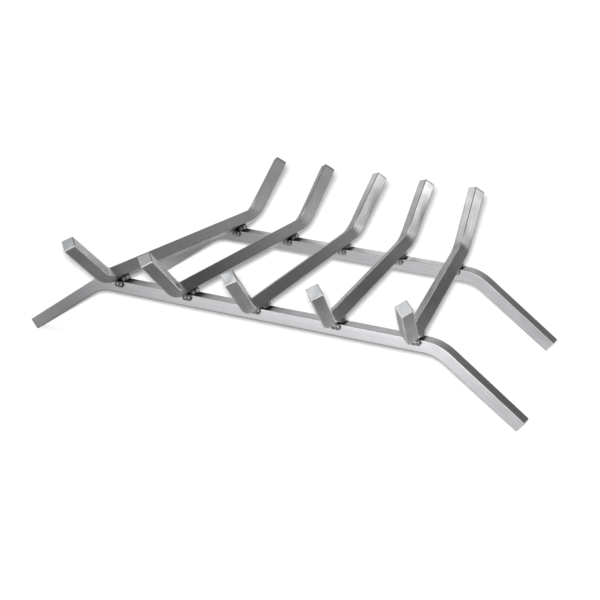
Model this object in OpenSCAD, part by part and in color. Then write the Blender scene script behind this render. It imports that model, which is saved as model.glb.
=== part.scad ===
// Tapered log grate for a fireplace or a wood stove: two rails with splayed legs carry five
// cross bars that fan out towards the front and turn up at both ends to hold the logs.
// Square bar stock throughout. The rails lie flat, the cross bars are set on edge, and every
// crossing is welded on both sides and tacked on the rail's front face.
// Frame: +X along the rails, +Y to the rear, +Z up, origin on the floor under the centre.

/* [Bar stock] */
// Side of the square bar
bar_side = 16; // [12:0.5:20]
// Radius of the bar's four long edges
edge_radius = 0.5; // [0.25:0.25:2]
// How much the bar swells on each side where it is bent
bend_swell = 0.05; // [0.03:0.01:0.2]

/* [Rails] */
// Distance between the centrelines of the two rails
rail_spacing = 237; // [200:1:280]
// From the outermost crossing to the corner where a leg turns down
rail_overhang = 30; // [26:1:45]
// Bend radius of the legs, on the centreline
leg_bend_radius = 50; // [30:1:50]
// Angle of the legs below the horizontal
leg_angle = 36; // [30:1:42]
// Length of a leg, from the bend's corner to the cut end
leg_length = 134; // [110:1:160]
// Width of the flat that each leg stands on
foot_land = 2.5; // [1:0.25:4]

/* [Cross bars] */
// Distance between neighbouring cross bars over the front rail
front_pitch = 103.5; // [85:0.5:115]
// Distance between neighbouring cross bars over the rear rail
rear_pitch = 82; // [60:0.5:85]
// From a rail's centreline to the corner where a finger turns up
finger_overhang = 32; // [29:0.5:45]
// Length of a front finger, from the bend's corner to the cut end
front_finger_length = 91; // [70:0.5:120]
// Length of a rear finger
rear_finger_length = 92.5; // [70:0.5:120]
// Angle of the fingers above the horizontal
finger_angle = 45; // [35:1:50]
// Bend radius of the fingers, on the centreline
finger_bend_radius = 42; // [30:1:45]

/* [Hand fitting] */
// Turn of cross bar 1 about its own length, positive leans the fingers to the right
turn_1 = 0; // [-10:0.5:10]
// Turn of cross bar 2
turn_2 = 2; // [-10:0.5:10]
// Turn of cross bar 3
turn_3 = 8; // [-10:0.5:10]
// Turn of cross bar 4
turn_4 = 6; // [-10:0.5:10]
// Turn of cross bar 5
turn_5 = 5.5; // [-10:0.5:10]
// How much further than the rear the front of cross bar 1 reaches
reach_1 = -4.5; // [-6:0.5:6]
// The same for cross bar 2
reach_2 = -2.5; // [-6:0.5:6]
// The same for cross bar 3
reach_3 = 3; // [-6:0.5:6]
// The same for cross bar 4
reach_4 = 0; // [-6:0.5:6]
// The same for cross bar 5
reach_5 = 1.5; // [-6:0.5:6]
// How far to the right of cross bar 1 the tack on the front rail lies
front_tack_1 = 3.5; // [-4:0.5:4]
// The same for cross bar 2
front_tack_2 = 1; // [-4:0.5:4]
// The same for cross bar 3
front_tack_3 = -3.5; // [-4:0.5:4]
// The same for cross bar 4
front_tack_4 = 2; // [-4:0.5:4]
// The same for cross bar 5
front_tack_5 = 3; // [-4:0.5:4]
// How far to the right of cross bar 1 the tack on the rear rail lies
rear_tack_1 = 2.5; // [-4:0.5:4]
// The same for cross bar 2
rear_tack_2 = 0.5; // [-4:0.5:4]
// The same for cross bar 3
rear_tack_3 = 2; // [-4:0.5:4]
// The same for cross bar 4
rear_tack_4 = 3; // [-4:0.5:4]
// The same for cross bar 5
rear_tack_5 = 2.5; // [-4:0.5:4]

/* [Beads] */
// Radius of the bead on each side of a crossing
bead_radius = 5.5; // [4.5:0.25:6]
// Distance of the bead's centreline from the line where the bars touch
bead_offset = 7; // [6.25:0.25:8]
// Radius of the lump at each end of a bead
lump_radius = 6; // [5.5:0.25:7]
// How far the lumps' centres stay back from the rail's edges
lump_setback = 3.5; // [2:0.25:5]
// Half the slot that is left open between the two beads of a crossing
root_clearance = 0.5; // [0.25:0.25:1]

/* [Tacks] */
// Radius of the tack that hangs under a cross bar on a rail's front face
tack_radius = 4.5; // [3.5:0.25:5]
// Straight part of the tack, along the rail
tack_length = 4; // [2:0.5:6]
// How far the tack's centreline lies below the rail's top face
tack_drop = 3.25; // [1:0.25:3.5]
// How far the tack's centreline lies in front of the rail's front face
tack_proud = 0.5; // [0:0.25:1.5]

/* [Hidden] */
$fn = 48;
bars = [1:5];
middle_bar = 3;
turns = [turn_1, turn_2, turn_3, turn_4, turn_5];
reaches = [reach_1, reach_2, reach_3, reach_4, reach_5];
front_tacks = [front_tack_1, front_tack_2, front_tack_3, front_tack_4, front_tack_5];
rear_tacks = [rear_tack_1, rear_tack_2, rear_tack_3, rear_tack_4, rear_tack_5];
rows = ["front", "rear"];
sides = ["left", "right"];
on_edge = 45;
// Straight lengths run this far into the swollen bends.
splice = 1;

// Half of the section from edge to edge, with its long edges rounded.
edge_circle = (bar_side / 2 - edge_radius) * sqrt(2);
half_diagonal = edge_circle + edge_radius;

// The foot's flat cuts this much off the lowest corner of a leg.
foot_cut = foot_land * sin(leg_angle) * cos(leg_angle);
rail_z = leg_length * sin(leg_angle) + bar_side / 2 * cos(leg_angle) - foot_cut;
rail_top = rail_z + bar_side / 2;

// The fingers' bends start clear of the rails, whatever the reach.
finger_bend_room = finger_overhang + min(reaches) - bar_side / 2;
finger_radius = min(finger_bend_radius, finger_bend_room / tan(finger_angle / 2));

function place(k) = k - middle_bar;
function sign_of(name) = name == "front" || name == "left" ? -1 : 1;
function pitch(row) = row == "front" ? front_pitch : rear_pitch;
function turn(k) = turns[k - 1];
function reach(k) = reaches[k - 1];
function tack_shift(row, k) = (row == "front" ? front_tacks : rear_tacks)[k - 1];
function fan(k) = atan((front_pitch - rear_pitch) * place(k) / rail_spacing);
function half_run(k) = rail_spacing / 2 / cos(fan(k)) + finger_overhang;
function crossing_x(row, k) = place(k) * pitch(row);
function bar_z(k) = rail_top + edge_circle * cos(turn(k)) + edge_radius;

// How far from the middle of the rails a finger ends, measured from front to back.
function depth(k, extra) = cos(fan(k)) * (half_run(k) + half_diagonal * sin(finger_angle) + extra);
front_depth = max([for (k = bars) depth(k, reach(k) + front_finger_length * cos(finger_angle))]);
rear_depth = max([for (k = bars) depth(k, rear_finger_length * cos(finger_angle))]);
middle_y = (front_depth - rear_depth) / 2;

function rail_y(row) = middle_y + sign_of(row) * rail_spacing / 2;
function rail_corner(row) = abs(crossing_x(row, 1)) + rail_overhang;

// Square bar section with rounded edges, turned about its centre.
module section(turned, side = bar_side) {
    flat = side - 2 * edge_radius;
    rotate(turned) {
        square([side, flat], center = true);
        square([flat, side], center = true);
        for (x = [-flat / 2, flat / 2], y = [-flat / 2, flat / 2])
            translate([x, y])
                circle(r = edge_radius);
    }
}

// Straight length of bar along +Y, from one distance to the other.
module straight(from, to, turned) {
    translate([0, from, 0])
        rotate([-90, 0, 0])
            linear_extrude(height = to - from)
                section(turned);
}

// Bend and straight end of a bar that arrives along +Y and turns up by an angle at a run.
module turned_end(run, length, angle, radius, turned) {
    tangent = radius * tan(angle / 2);
    translate([0, run - tangent, radius])
        rotate([0, 90, 0])
            rotate_extrude(angle = angle)
                translate([radius, 0])
                    section(turned, bar_side + 2 * bend_swell);
    translate([0, run, 0])
        rotate([angle, 0, 0])
            straight(tangent - splice, length, turned);
}

// Bar along Y with both ends turned up. Runs and lengths are given as [front, rear].
module bent_bar(runs, lengths, angle, radius, turned) {
    tangent = radius * tan(angle / 2);
    straight(tangent - splice - runs[0], runs[1] - tangent + splice, turned);
    turned_end(runs[1], lengths[1], angle, radius, turned);
    mirror([0, 1, 0])
        turned_end(runs[0], lengths[0], angle, radius, turned);
}

// Rail on its legs, flat side up, with the feet cut level with the floor.
module rail_shape(row) {
    corner = rail_corner(row);
    floor_size = 2 * (corner + leg_length + bar_side);
    difference() {
        translate([0, rail_y(row), rail_z])
            rotate([180, 0, 90])
                bent_bar([corner, corner], [leg_length, leg_length], leg_angle, leg_bend_radius, 0);
        translate([-floor_size / 2, -floor_size / 2, -floor_size])
            cube(floor_size);
    }
}

// Places children over a crossing, with +Y along the cross bar and the floor at zero.
module at_crossing(row, k) {
    translate([crossing_x(row, k), rail_y(row), 0])
        rotate([0, 0, fan(k)])
            children();
}

// Cross bar on edge, fanned out and turned a little about its own length.
module bar_shape(k) {
    half_span = rail_spacing / 2 / cos(fan(k));
    at_crossing("front", k)
        translate([0, half_span, bar_z(k)])
            rotate([0, turn(k), 0])
                bent_bar([half_run(k) + reach(k), half_run(k)],
                    [front_finger_length, rear_finger_length],
                    finger_angle, finger_radius, on_edge);
}

// Half the width of a rail where a cross bar runs over it, along the cross bar.
function half_width(k) = bar_side / 2 / cos(fan(k));

// Places children where the bars touch, in the middle of a crossing.
module at_contact(row, k) {
    at_crossing(row, k)
        translate([-edge_circle * sin(turn(k)), 0, rail_top])
            children();
}

// Bead on one side of a crossing: a rod in the gap under the bar with a lump at each end.
module bead_shape(row, k, side) {
    gap = on_edge - sign_of(side) * turn(k);
    end_y = half_width(k) - lump_setback;
    room = bead_offset + lump_radius;
    at_contact(row, k)
        mirror([side == "left" ? 1 : 0, 0, 0])
            intersection() {
                translate([bead_offset * cos(gap / 2), 0, bead_offset * sin(gap / 2)]) {
                    rotate([-90, 0, 0])
                        translate([0, 0, -end_y])
                            cylinder(r = bead_radius, h = 2 * end_y);
                    for (y = [-end_y, end_y])
                        translate([0, y, 0])
                            sphere(r = lump_radius);
                }
                translate([root_clearance, -half_width(k) - room, -room])
                    cube([2 * room, 2 * (half_width(k) + room), 2 * room]);
            }
}

// Tack under a cross bar: a short round-ended lump along the front top edge of the rail.
module tack_shape(row, k) {
    at_contact(row, k)
        translate([0, -half_width(k), 0])
            rotate([0, 0, -fan(k)])
                translate([tack_shift(row, k), -tack_proud, -tack_drop])
                    rotate([0, 90, 0]) {
                        translate([0, 0, -tack_length / 2])
                            cylinder(r = tack_radius, h = tack_length);
                        for (x = [-tack_length / 2, tack_length / 2])
                            translate([0, 0, x])
                                sphere(r = tack_radius);
                    }
}

module rail(row) {
    color("silver")
        rail_shape(row);
}

module cross_bar(k) {
    color("darkgray")
        bar_shape(k);
}

module weld(row, k, side) {
    color("dimgray")
        difference() {
            bead_shape(row, k, side);
            rail_shape(row);
            bar_shape(k);
            tack_shape(row, k);
        }
}

module tack(row, k) {
    color("gray")
        difference() {
            tack_shape(row, k);
            rail_shape(row);
            bar_shape(k);
        }
}

for (row = rows) {
    rail(row);
}
for (k = bars) {
    cross_bar(k);
}
for (row = rows, k = bars, side = sides) {
    weld(row, k, side);
}
for (row = rows, k = bars) {
    tack(row, k);
}
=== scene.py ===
"""Tapered log grate of square steel bar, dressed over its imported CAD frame.

Two rails on splayed legs carry five cross bars that are set on edge, fan out towards the front
and turn up at both ends. A weld bead runs on both sides of every crossing, and a tack hangs under
the cross bar on the rail's front face. Sizes are in metres.
"""

import logging
import math
from collections.abc import Callable, Iterable
from dataclasses import dataclass, field, replace
from enum import Enum

import bmesh
import bpy
from mathutils import Euler, Matrix, Vector, noise


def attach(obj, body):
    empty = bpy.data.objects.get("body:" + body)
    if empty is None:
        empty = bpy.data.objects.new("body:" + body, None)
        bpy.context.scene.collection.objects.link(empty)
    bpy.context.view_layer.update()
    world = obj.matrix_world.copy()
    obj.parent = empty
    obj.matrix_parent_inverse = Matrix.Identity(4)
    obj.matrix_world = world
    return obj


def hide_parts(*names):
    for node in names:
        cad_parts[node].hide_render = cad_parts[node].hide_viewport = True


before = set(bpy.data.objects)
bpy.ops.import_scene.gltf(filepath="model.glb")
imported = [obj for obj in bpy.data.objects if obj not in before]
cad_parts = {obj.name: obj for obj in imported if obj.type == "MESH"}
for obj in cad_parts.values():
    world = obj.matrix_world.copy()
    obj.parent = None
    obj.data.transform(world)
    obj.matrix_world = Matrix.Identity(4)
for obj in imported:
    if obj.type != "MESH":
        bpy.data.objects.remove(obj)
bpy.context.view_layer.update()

LOG = logging.getLogger("log_grate")
MM = 0.001
BARS = range(1, 6)
MIDDLE_BAR = 3
CUT_SLOT = 1
FLAT_FACE_WEIGHT = 80
GRAIN_MAP = "grain"
HEAT_ATTRIBUTE = "weld_heat"
# Edge mask: above 0 edge wear, below 0 painted edge shade.
EDGE_ATTRIBUTE = "edge"
# Vertex gain that carries the painted light and painted shade of the faces' stretches.
PAINTED_SHADING_ATTRIBUTE = "tone"
FLOAT = "NodeSocketFloat"
COLOUR = "NodeSocketColor"
VECTOR = "NodeSocketVector"
GREY = (0.5, 0.5, 0.5, 1)

Colour = tuple[float, float, float, float]
Span = tuple[float, float]
Input = bpy.types.NodeSocket | Vector | Colour | float


class Row(Enum):
    """The two rails of the grate."""

    FRONT = "front"
    REAR = "rear"

    @property
    def sign(self) -> int:
        """Direction of the row along Y, seen from the middle."""
        return -1 if self is Row.FRONT else 1


class Side(Enum):
    """The two sides of a cross bar."""

    LEFT = "left"
    RIGHT = "right"

    @property
    def sign(self) -> int:
        """Direction of the side along X, seen from the cross bar."""
        return -1 if self is Side.LEFT else 1


class Face(Enum):
    """The four faces of a bar, in their order round its section.

    The plain names are those of a cross bar, which stands on edge, seen from the front.
    """

    LOWER_RIGHT = RAIL_TOP = 0
    UPPER_RIGHT = RAIL_BACK = 1
    UPPER_LEFT = 2
    LOWER_LEFT = RAIL_FRONT = 3

    @property
    def rim_shine(self) -> float:
        """How the rim of a cut is marked along the face: 1 is a bright burr and -1 is painted
        shade.
        """
        if self in (Face.LOWER_RIGHT, Face.LOWER_LEFT):
            return 1.0
        return -0.8 if self is Face.UPPER_RIGHT else 0.0


class Slot(Enum):
    """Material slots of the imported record."""

    RAIL = "rail_steel"
    BAR = "bar_steel"
    WELD = "weld_metal"


# --------------------------------------------------------------------------------------------
# Sizes
# --------------------------------------------------------------------------------------------

@dataclass(frozen=True)
class BarStock:
    """Square bar that everything is bent from.

    The edge radius is that of the CAD model and places the bars, and the worn radius is shown. The
    support is how far from each edge's rounding a line of vertices keeps the face flat.
    """

    side: float = 16 * MM
    edge_radius: float = 0.5 * MM
    worn_radius: float = 0.8 * MM
    edge_steps: int = 3
    flat_steps: int = 5
    support: float = 0.4 * MM

    @property
    def half(self) -> float:
        """Half the bar's side."""
        return self.side / 2

    @property
    def edge_circle(self) -> float:
        """Distance from the bar's centre to the centre of its edge rounding."""
        return (self.half - self.edge_radius) * math.sqrt(2)

    @property
    def edge_reach(self) -> float:
        """Distance from the bar's centre to the outside of its edge."""
        return self.edge_circle + self.edge_radius


@dataclass(frozen=True)
class GrateSizes:
    """Driving sizes of the grate, the same as in the CAD source."""

    rail_spacing: float = 237 * MM
    rail_overhang: float = 30 * MM
    leg_bend_radius: float = 50 * MM
    leg_angle: float = math.radians(36)
    leg_length: float = 134 * MM
    foot_land: float = 2.5 * MM
    front_pitch: float = 103.5 * MM
    rear_pitch: float = 82 * MM
    finger_overhang: float = 32 * MM
    front_finger_length: float = 91 * MM
    rear_finger_length: float = 92.5 * MM
    finger_angle: float = math.radians(45)
    finger_bend_radius: float = 42 * MM
    middle_y: float = 0.97 * MM
    turns: tuple[float, ...] = (0.0, 2.0, 8.0, 6.0, 5.5)
    reaches: tuple[float, ...] = (-4.5, -2.5, 3.0, 0.0, 1.5)
    front_tacks: tuple[float, ...] = (3.5, 1.0, -3.5, 2.0, 3.0)
    rear_tacks: tuple[float, ...] = (2.5, 0.5, 2.0, 3.0, 2.5)
    stock: BarStock = field(default_factory=BarStock)

    @property
    def rail_z(self) -> float:
        """Height of the rails' centrelines above the floor."""
        cut = self.foot_land * math.sin(self.leg_angle) * math.cos(self.leg_angle)
        return (self.leg_length * math.sin(self.leg_angle)
                + self.stock.half * math.cos(self.leg_angle) - cut)

    @property
    def rail_top(self) -> float:
        """Height of the rails' top faces above the floor."""
        return self.rail_z + self.stock.half

    def pitch(self, row: Row) -> float:
        """Distance between neighbouring cross bars over a rail."""
        return self.front_pitch if row is Row.FRONT else self.rear_pitch

    def rail_y(self, row: Row) -> float:
        """Place of a rail's centreline along Y."""
        return self.middle_y + row.sign * self.rail_spacing / 2

    def bar_x(self, row: Row, number: int) -> float:
        """Place of a cross bar along a rail, measured from the rail's middle."""
        return (number - MIDDLE_BAR) * self.pitch(row)

    def rail_corner(self, row: Row) -> float:
        """Distance from the middle to the corner where a rail's leg turns down."""
        return self.bar_x(row, BARS[-1]) + self.rail_overhang

    def fan(self, number: int) -> float:
        """Angle of a cross bar off the Y axis, in radians."""
        spread = self.bar_x(Row.FRONT, number) - self.bar_x(Row.REAR, number)
        return math.atan(spread / self.rail_spacing)

    def turn(self, number: int) -> float:
        """Turn of a cross bar about its own length, in radians."""
        return math.radians(self.turns[number - 1])

    def reach(self, number: int) -> float:
        """How much further the front of a cross bar reaches than its rear."""
        return self.reaches[number - 1] * MM

    def tack_shift(self, row: Row, number: int) -> float:
        """How far to the right of a crossing its tack lies."""
        listed = self.front_tacks if row is Row.FRONT else self.rear_tacks
        return listed[number - 1] * MM

    def crossing(self, row: Row, number: int) -> Matrix:
        """Frame of a crossing on the floor, with +Y along the cross bar.

        Args:
            row: The rail of the crossing.
            number: The cross bar, from 1 at the left.

        Returns:
            The matrix from the crossing's frame to the grate's.
        """
        place = Vector((self.bar_x(row, number), self.rail_y(row), 0))
        return Matrix.Translation(place) @ Matrix.Rotation(self.fan(number), 4, "Z")


# --------------------------------------------------------------------------------------------
# Node groups and finishes
# --------------------------------------------------------------------------------------------

@dataclass(frozen=True)
class Speckle:
    """A noise pattern: its scale, detail and roughness."""

    scale: float
    detail: float
    roughness: float


class Mixed(Enum):
    """What a Mix node mixes: its data type, its two input sockets and its output socket."""

    COLOURS = ("RGBA", 6, 7, 2)
    NUMBERS = ("FLOAT", 2, 3, 0)


class NodeTree:
    """Small helper that adds and wires the nodes of one tree."""

    def __init__(self, tree: bpy.types.NodeTree) -> None:
        """Keeps the tree to build in."""
        self.tree = tree

    def add(self, kind: str, **settings: object) -> bpy.types.Node:
        """Adds a node.

        Args:
            kind: The node's type name without the leading "ShaderNode".
            **settings: Properties of the node to set.

        Returns:
            The new node.
        """
        made = self.tree.nodes.new("ShaderNode" + kind)
        for name, value in settings.items():
            setattr(made, name, value)
        return made

    def feed(self, sockets: Iterable[bpy.types.NodeSocket], *values: Input) -> None:
        """Sets or links input sockets in their order.

        Args:
            sockets: The input sockets.
            *values: A number, a colour or an output socket for each of the first inputs.
        """
        for socket, value in zip(sockets, values):
            if isinstance(value, bpy.types.NodeSocket):
                self.tree.links.new(value, socket)
            else:
                socket.default_value = value

    def set(self, node: bpy.types.Node, **values: Input) -> bpy.types.Node:
        """Sets or links input sockets by name, with _ for a space.

        Args:
            node: The node whose inputs are set.
            **values: A number, a colour or an output socket for each input.

        Returns:
            The same node.
        """
        self.feed([node.inputs[name.replace("_", " ")] for name in values], *values.values())
        return node

    def math(self, operation: str, *values: Input, clamp: bool = False) -> bpy.types.NodeSocket:
        """Adds a Math node.

        Args:
            operation: The node's operation.
            *values: A number or an output socket for each input.
            clamp: Whether the result is clamped to 0..1.

        Returns:
            The node's output.
        """
        made = self.add("Math", operation=operation, use_clamp=clamp)
        self.feed(made.inputs, *values)
        return made.outputs[0]

    def blend(self, first: Input, second: Input, share: float) -> bpy.types.NodeSocket:
        """Adds two values, the second by its share and the first by the rest."""
        return self.math("ADD", self.math("MULTIPLY", first, 1 - share),
                         self.math("MULTIPLY", second, share))

    def vector(self, operation: str, first: Input, second: Input) -> bpy.types.Node:
        """Adds a Vector Math node.

        Args:
            operation: The node's operation.
            first: Its first vector or socket.
            second: Its second vector or socket.

        Returns:
            The node.
        """
        made = self.add("VectorMath", operation=operation)
        self.feed(made.inputs, first, second)
        return made

    def scale(self, vector: bpy.types.NodeSocket, factor: Input) -> bpy.types.NodeSocket:
        """Scales a vector or a colour by a number or a socket."""
        made = self.add("VectorMath", operation="SCALE")
        return self.set(made, Vector=vector, Scale=factor).outputs[0]

    def ramp(self, value: bpy.types.NodeSocket, low: float, high: float,
             to_low: float = 0.0, to_high: float = 1.0) -> bpy.types.NodeSocket:
        """Maps a range smoothly onto another.

        Args:
            value: The value to map.
            low: Start of the range.
            high: End of the range.
            to_low: Result at the start.
            to_high: Result at the end.

        Returns:
            The mapped value.
        """
        made = self.add("MapRange", interpolation_type="SMOOTHSTEP")
        self.set(made, Value=value, From_Min=low, From_Max=high, To_Min=to_low, To_Max=to_high)
        return made.outputs["Result"]

    def mix(self, factor: Input, first: Input, second: Input,
            mixed: Mixed = Mixed.COLOURS) -> bpy.types.NodeSocket:
        """Mixes two colours or numbers.

        Args:
            factor: Share of the second one, a number or a socket.
            first: What comes out at factor 0.
            second: What comes out at factor 1.
            mixed: Whether they are colours or numbers.

        Returns:
            The mixture.
        """
        kind, low, high, result = mixed.value
        made = self.add("Mix", data_type=kind)
        self.feed([made.inputs[place] for place in (0, low, high)], factor, first, second)
        return made.outputs[result]

    def noise(self, vector: bpy.types.NodeSocket, speckle: Speckle) -> bpy.types.NodeSocket:
        """Adds a noise texture and returns its value."""
        return self.set(self.add("TexNoise"), Vector=vector, Scale=speckle.scale,
                        Detail=speckle.detail, Roughness=speckle.roughness).outputs["Fac"]

    def painted(self, attribute: str) -> bpy.types.NodeSocket:
        """Value that is kept on the mesh's vertices under a name."""
        return self.add("Attribute", attribute_name=attribute).outputs["Fac"]

    def bump(self, height: bpy.types.NodeSocket, depth: float) -> bpy.types.NodeSocket:
        """Normal of a surface whose relief is so many metres deep for a height of 1."""
        made = self.set(self.add("Bump"), Height=height, Distance=depth, Strength=1.0)
        return made.outputs[0]

    def group(self, shared: bpy.types.NodeTree,
              **values: Input) -> bpy.types.bpy_prop_collection:
        """Places a shared group, feeds its inputs by name and returns its outputs."""
        return self.set(self.add("Group", node_tree=shared), **values).outputs

    def put_out(self, kind: str, shader: bpy.types.Node) -> None:
        """Wires a shader to a new output node of the given kind."""
        self.set(self.add("Output" + kind), Surface=shader.outputs[0])


def fresh_tree(owner: bpy.types.ID) -> NodeTree:
    """Gives a material, a world or a lamp an empty node tree.

    Args:
        owner: The material, world or lamp.

    Returns:
        The tree.
    """
    owner.use_nodes = True
    owner.node_tree.nodes.clear()
    return NodeTree(owner.node_tree)


def shade(tone: float, tint: tuple[float, float, float] = (1.0, 1.0, 1.0)) -> Colour:
    """Colour of a tone under a tint."""
    return (*(tone * share for share in tint), 1)


class Group(NodeTree):
    """Shader node group with named inputs and outputs, shared by several finishes."""

    def __init__(self, name: str, inputs: dict[str, tuple[str, object]],
                 outputs: dict[str, str]) -> None:
        """Makes an empty group.

        Args:
            name: The group's name.
            inputs: Socket type and default of each input.
            outputs: Socket type of each output.
        """
        super().__init__(bpy.data.node_groups.new(name, "ShaderNodeTree"))
        for label, (kind, value) in inputs.items():
            made = self.tree.interface.new_socket(label, in_out="INPUT", socket_type=kind)
            if value is not None:
                made.default_value = value
        for label, kind in outputs.items():
            self.tree.interface.new_socket(label, in_out="OUTPUT", socket_type=kind)
        self.inside = self.tree.nodes.new("NodeGroupInput").outputs
        self.results = self.tree.nodes.new("NodeGroupOutput")

    def close(self, **values: bpy.types.NodeSocket) -> bpy.types.NodeTree:
        """Wires the group's outputs by name and returns its tree."""
        self.set(self.results, **values)
        return self.tree


@dataclass(frozen=True)
class BrushedGrain:
    """Brushed grain: fine scratches along the first axis of a map, in metres."""

    stretch: float = 60.0
    lines_per_metre: float = 2600.0
    fine: Speckle = Speckle(1.0, 3.0, 0.65)
    broad: Speckle = Speckle(0.21, 2.0, 0.5)
    patches: Speckle = Speckle(38.0, 3.0, 0.55)
    broad_share: float = 0.7
    broad_height: float = 1.5
    streak_span: Span = (0.34, 0.66)
    patch_span: Span = (0.32, 0.68)

    def build(self) -> bpy.types.NodeTree:
        """Builds the group.

        Returns:
            The group, which puts out a streak mask, a patch mask and a height.
        """
        group = Group("Brushed grain",
                      {"Place": (VECTOR, None), "Stretch": (FLOAT, self.stretch),
                       "Lines": (FLOAT, self.lines_per_metre)},
                      {"Streak": FLOAT, "Patch": FLOAT, "Height": FLOAT})
        split = group.set(group.add("SeparateXYZ"), Vector=group.inside["Place"]).outputs
        along = group.math("DIVIDE", split["X"], group.inside["Stretch"])
        drawn = group.set(group.add("CombineXYZ"), X=along, Y=split["Y"], Z=split["Z"])
        place = group.scale(drawn.outputs[0], group.inside["Lines"])
        lines = group.noise(place, self.fine)
        broad = group.noise(place, self.broad)
        patch = group.noise(group.inside["Place"], self.patches)
        return group.close(
            Streak=group.ramp(group.blend(lines, broad, self.broad_share), *self.streak_span),
            Patch=group.ramp(patch, *self.patch_span),
            Height=group.math("ADD", lines, group.math("MULTIPLY", broad, self.broad_height)))


@dataclass(frozen=True)
class HeatTint:
    """Heat tint: a straw band and a dark one that close in on a weld."""

    unevenness: float = 0.5
    straw: Colour = (0.3, 0.275, 0.255, 1)
    straw_strength: float = 0.35
    straw_band: Span = (0.2, 0.4)
    straw_start: Span = (0.02, 0.2)
    dark: Colour = (0.075, 0.07, 0.068, 1)
    dark_band: Span = (0.4, 1.0)
    dark_start: Span = (0.1, 0.3)

    def build(self) -> bpy.types.NodeTree:
        """Builds the group.

        Returns:
            The group, which takes a colour and a mask and puts out the tinted colour and how dark
            the tint is.
        """
        group = Group("Heat tint",
                      {"Color": (COLOUR, GREY), "Mask": (FLOAT, 0.0), "Break up": (FLOAT, 0.5),
                       "Dark": (COLOUR, self.dark)},
                      {"Color": COLOUR, "Tint": FLOAT})
        even = group.inside["Mask"]
        spread = group.math("SUBTRACT", group.inside["Break up"], 0.5)
        mask = group.math("ADD", even, group.math("MULTIPLY", spread, self.unevenness))
        straw = group.math("MULTIPLY", group.ramp(mask, *self.straw_band),
                           group.ramp(even, *self.straw_start))
        dark = group.math("MULTIPLY", group.ramp(mask, *self.dark_band),
                          group.ramp(even, *self.dark_start))
        tinted = group.mix(group.math("MULTIPLY", straw, self.straw_strength),
                           group.inside["Color"], self.straw)
        return group.close(Color=group.mix(dark, tinted, group.inside["Dark"]), Tint=dark)


@dataclass(frozen=True)
class EdgeWear:
    """Edge wear: a broken line of brighter metal along rounded edges."""

    bright: Colour = (0.9, 0.9, 0.9, 1)
    broken_span: Span = (0.25, 0.6)

    def build(self) -> bpy.types.NodeTree:
        """Builds the group.

        Returns:
            The group, which takes a colour and an edge mask and puts out both after wear.
        """
        group = Group("Edge wear",
                      {"Color": (COLOUR, GREY), "Mask": (FLOAT, 0.0), "Break up": (FLOAT, 0.5),
                       "Bright": (COLOUR, self.bright)},
                      {"Color": COLOUR, "Wear": FLOAT})
        worn = group.math("MULTIPLY", group.inside["Mask"],
                          group.ramp(group.inside["Break up"], *self.broken_span))
        return group.close(Color=group.mix(worn, group.inside["Color"], group.inside["Bright"]),
                           Wear=worn)


@dataclass(frozen=True)
class PaintedEdgeShade:
    """Painted edge shade: steel painted darker where its edge mask is below 0."""

    depth: float = 0.5

    def build(self) -> bpy.types.NodeTree:
        """Builds the group.

        Returns:
            The group, which takes an edge mask and puts out the lightness that is left.
        """
        group = Group("Edge dulling", {"Mask": (FLOAT, 0.0), "Depth": (FLOAT, self.depth)},
                      {"Lightness": FLOAT})
        deep = group.math("MULTIPLY", group.inside["Mask"], group.inside["Depth"])
        shaded = group.math("MAXIMUM", group.math("MULTIPLY", deep, -1.0), 0.0)
        return group.close(Lightness=group.math("SUBTRACT", 1.0, shaded))


@dataclass(frozen=True)
class GroupShelf:
    """The node groups that the grate's finishes share."""

    grain: bpy.types.NodeTree
    heat: bpy.types.NodeTree
    wear: bpy.types.NodeTree
    # The group that paints shade along edges.
    painted_shade: bpy.types.NodeTree


@dataclass(frozen=True)
class Finish:
    """A finish and the material that it makes."""

    name: str
    shelf: GroupShelf

    def material(self) -> bpy.types.Material:
        """Makes the material and hands its tree to dress().

        Returns:
            The finished material.
        """
        made = bpy.data.materials.new(self.name)
        tree = fresh_tree(made)
        shader = tree.add("BsdfPrincipled")
        tree.put_out("Material", shader)
        self.dress(tree, shader)
        return made

    def dress(self, tree: NodeTree, shader: bpy.types.Node) -> None:
        """Wires the finish into its shader; each kind of finish has its own way."""
        raise NotImplementedError


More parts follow.
